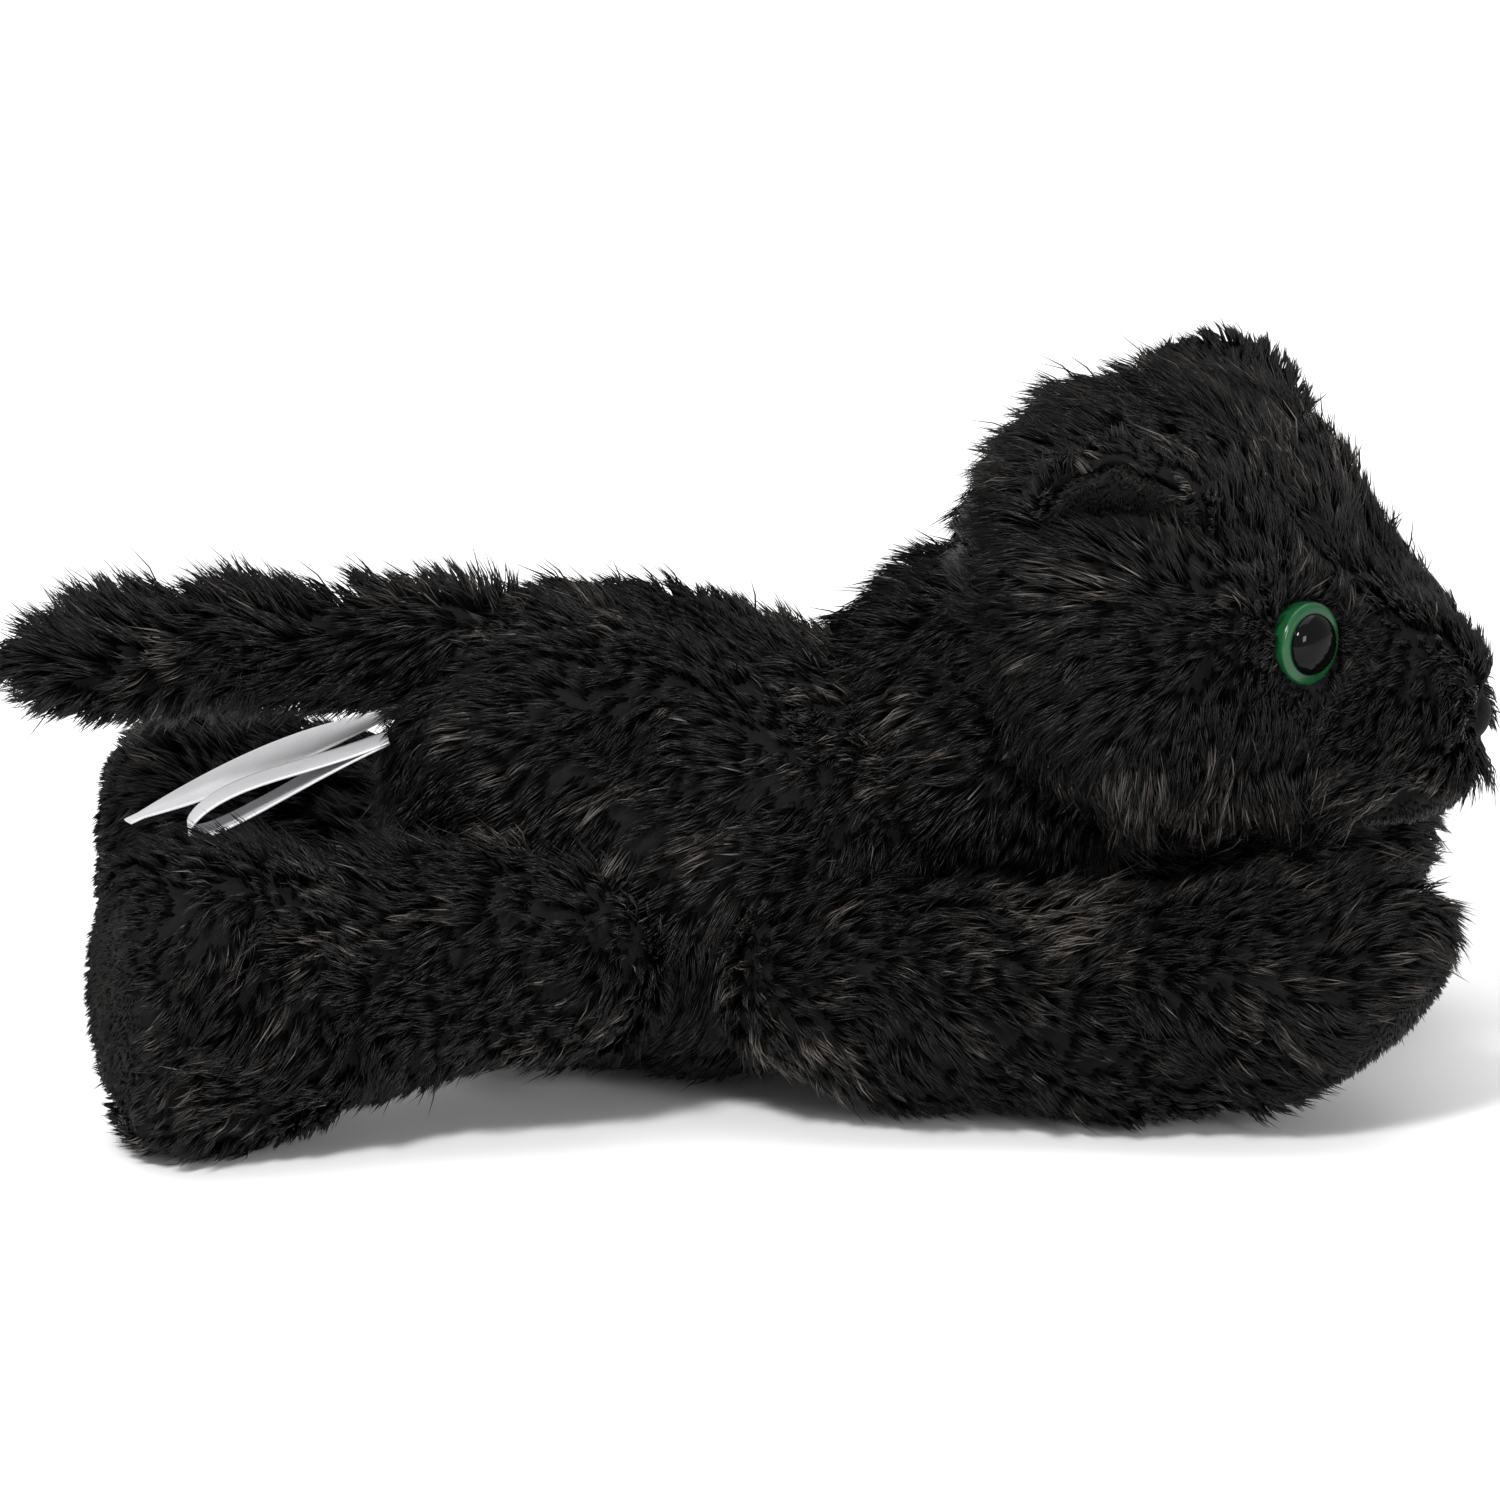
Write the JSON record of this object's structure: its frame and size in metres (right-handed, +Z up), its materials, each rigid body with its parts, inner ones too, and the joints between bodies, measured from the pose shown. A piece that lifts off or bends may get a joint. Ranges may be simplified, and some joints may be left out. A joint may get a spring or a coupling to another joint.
{
  "type": "plush cat",
  "caption": "Long-pile black plush cat lying on its belly, head raised, legs stretched out and tail straight back, with green eyes and cloth labels at the rump.",
  "frame": {"origin": "on the floor, at the centre of the bounding box's bottom", "axes": "+X towards the head and muzzle, +Y to the cat's left, +Z up"},
  "size_m": [0.2107, 0.1295, 0.1053],
  "materials": {
    "black_fur": "long-pile plush",
    "black_velour": "short velour",
    "stuffing": "polyester fibre",
    "pellet_bag": "woven bag of plastic pellets",
    "eye_green": "polished",
    "eye_black": "polished",
    "nose": "flocked",
    "washer": "moulded",
    "label_cloth": "satin ribbon"
  },
  "bodies": {
    "torso": {"torso_cover": "black_fur", "torso_stuffing": "stuffing", "pellet_bag": "pellet_bag"},
    "neck": {"neck_cover": "black_fur", "neck_stuffing": "stuffing"},
    "head": {"head_cover": "black_fur", "mouth_patch": "black_velour", "head_stuffing": "stuffing", "nose": "nose", "nose_washer": "washer", "eye_iris_r": "eye_green", "eye_pupil_r": "eye_black", "eye_washer_r": "washer", "eye_iris_l": "eye_green", "eye_pupil_l": "eye_black", "eye_washer_l": "washer"},
    "ear_r": {"ear_outer_r": "black_fur", "ear_lining_r": "black_velour"},
    "ear_l": {"ear_outer_l": "black_fur", "ear_lining_l": "black_velour"},
    "foreleg_r": {"foreleg_r_cover": "black_fur", "foreleg_r_sole": "black_velour", "foreleg_r_filling": "stuffing"},
    "foreleg_l": {"foreleg_l_cover": "black_fur", "foreleg_l_sole": "black_velour", "foreleg_l_filling": "stuffing"},
    "hindleg_r": {"hindleg_r_cover": "black_fur", "hindleg_r_sole": "black_velour", "hindleg_r_filling": "stuffing"},
    "hindleg_l": {"hindleg_l_cover": "black_fur", "hindleg_l_sole": "black_velour", "hindleg_l_filling": "stuffing"},
    "tail_root": {"tail_root_cover": "black_fur", "tail_root_stuffing": "stuffing"},
    "tail_tip": {"tail_tip_cover": "black_fur", "tail_tip_stuffing": "stuffing"},
    "brand_label": {"brand_label": "label_cloth"},
    "care_label": {"care_label": "label_cloth"}
  },
  "joints": [
    {"name": "neck_turn", "type": "hinge", "parent": "torso", "child": "neck", "pos_m": [0.038, 0, 0.052], "axis": [0, 0, 1], "range_deg": [-8, 30]},
    {"name": "neck_nod", "type": "hinge", "parent": "neck", "child": "head", "pos_m": [0.038, 0, 0.052], "axis": [-0.225, -0.9744, 0], "range_deg": [-2, 12]},
    {"name": "ear_r_fold", "type": "hinge", "parent": "head", "child": "ear_r", "pos_m": [0.05246, -0.03515, 0.091], "axis": [0.9744, -0.225, 0], "range_deg": [-10, 10], "stiffness_Nm_per_rad": 0.01},
    {"name": "ear_l_fold", "type": "hinge", "parent": "head", "child": "ear_l", "pos_m": [0.06641, 0.02526, 0.091], "axis": [0.9744, -0.225, 0], "range_deg": [-10, 10], "stiffness_Nm_per_rad": 0.01},
    {"name": "foreleg_r_splay", "type": "hinge", "parent": "torso", "child": "foreleg_r", "pos_m": [0.012, -0.027, 0.016], "axis": [0, 0, -1], "range_deg": [-4, 15]},
    {"name": "foreleg_l_splay", "type": "hinge", "parent": "torso", "child": "foreleg_l", "pos_m": [0.012, 0.027, 0.016], "axis": [0, 0, 1], "range_deg": [-4, 15]},
    {"name": "hindleg_r_splay", "type": "hinge", "parent": "torso", "child": "hindleg_r", "pos_m": [-0.03, -0.031, 0.022], "axis": [0, 0, 1], "range_deg": [-5, 14]},
    {"name": "hindleg_l_splay", "type": "hinge", "parent": "torso", "child": "hindleg_l", "pos_m": [-0.03, 0.031, 0.022], "axis": [0, 0, -1], "range_deg": [-5, 14]},
    {"name": "tail_swing", "type": "hinge", "parent": "torso", "child": "tail_root", "pos_m": [-0.04, 0, 0.0615], "axis": [0, 0, 1], "range_deg": [-14, 14]},
    {"name": "tail_bend", "type": "hinge", "parent": "tail_root", "child": "tail_tip", "pos_m": [-0.073, 0, 0.0615], "axis": [0, 1, 0], "range_deg": [-8, 25]},
    {"name": "brand_label_flap", "type": "hinge", "parent": "torso", "child": "brand_label", "pos_m": [-0.0508, 0.0083, 0.0502], "axis": [0, 1, 0], "range_deg": [-15, 12], "stiffness_Nm_per_rad": 0.002},
    {"name": "care_label_flap", "type": "hinge", "parent": "torso", "child": "care_label", "pos_m": [-0.0508, -0.0063, 0.0502], "axis": [0, 1, 0], "range_deg": [-15, 12], "stiffness_Nm_per_rad": 0.002}
  ]
}
